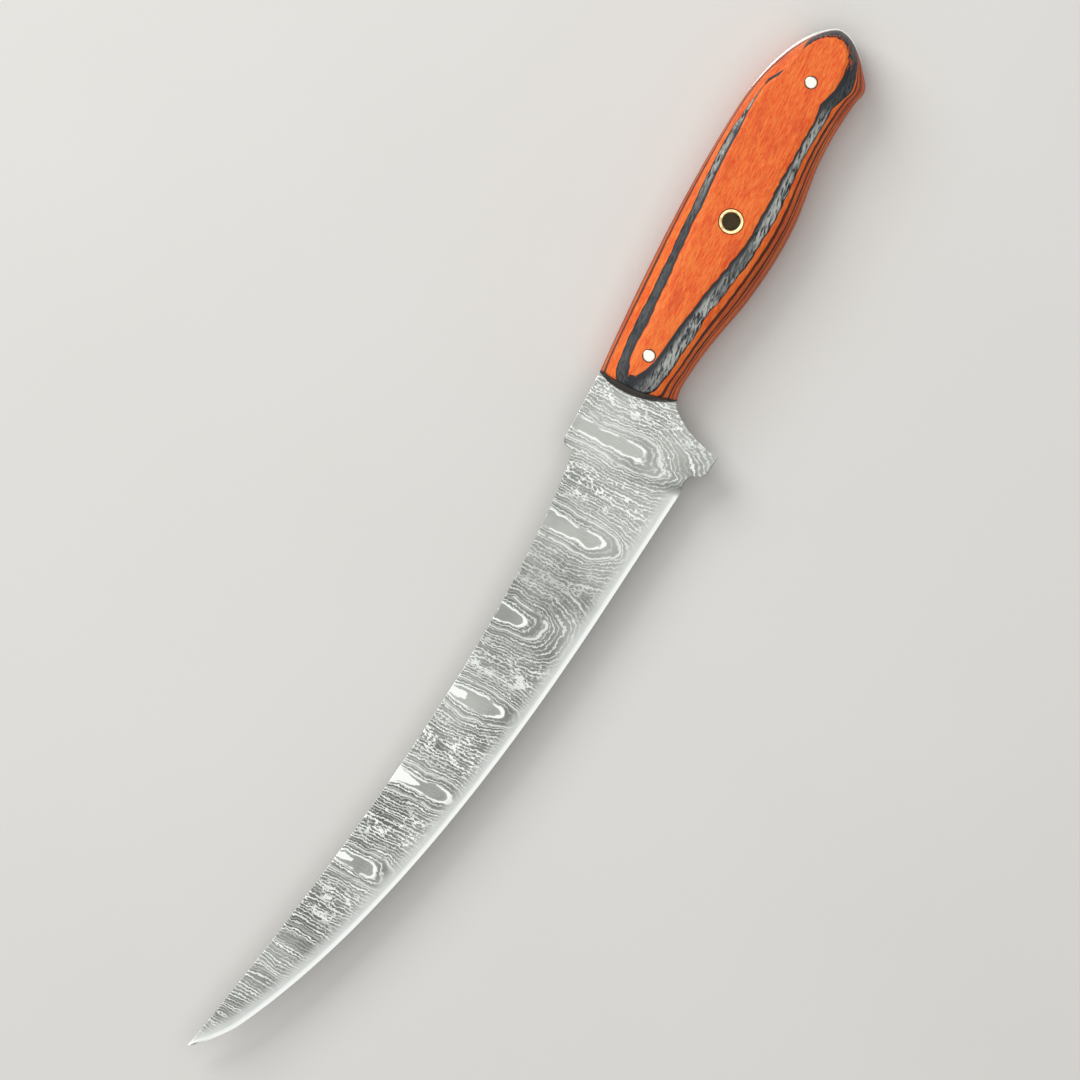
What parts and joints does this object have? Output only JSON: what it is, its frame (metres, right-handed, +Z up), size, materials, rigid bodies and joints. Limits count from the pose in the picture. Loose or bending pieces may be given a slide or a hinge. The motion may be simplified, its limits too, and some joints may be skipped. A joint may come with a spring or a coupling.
{
  "type": "fishing knife",
  "caption": "Fixed-blade fishing knife: long upswept patterned steel blade with a finger guard and full tang, pinned between domed scales of red and black laminated wood, with a lanyard tube.",
  "frame": {"origin": "centre of the knife's box, on the plane of the right scale's flat face, on which it lies", "axes": "+X from the tip to the butt, +Y from the cutting edge to the spine, +Z up out of the left scale's flat face"},
  "size_m": [0.305, 0.0444, 0.0185],
  "materials": {
    "blade_steel": "pattern-welded, etched satin with a bright ground edge",
    "pin_steel": "ground flush and polished",
    "tube_brass": "ground flush and polished, pale",
    "red_wood": "dyed veneer, sanded and oiled to a low sheen",
    "black_wood": "dyed veneer, sanded and oiled to a low sheen"
  },
  "bodies": {
    "root": {"blade": "blade_steel", "left_ply_1_red": "red_wood", "left_ply_2_black": "black_wood", "left_ply_3_red": "red_wood", "left_ply_4_black": "black_wood", "left_ply_5_red": "red_wood", "left_ply_6_black": "black_wood", "left_ply_7_red": "red_wood", "right_ply_1_red": "red_wood", "right_ply_2_black": "black_wood", "right_ply_3_red": "red_wood", "right_ply_4_black": "black_wood", "right_ply_5_red": "red_wood", "right_ply_6_black": "black_wood", "right_ply_7_red": "red_wood", "front_pin": "pin_steel", "rear_pin": "pin_steel", "lanyard_tube": "tube_brass"}
  },
  "joints": []
}
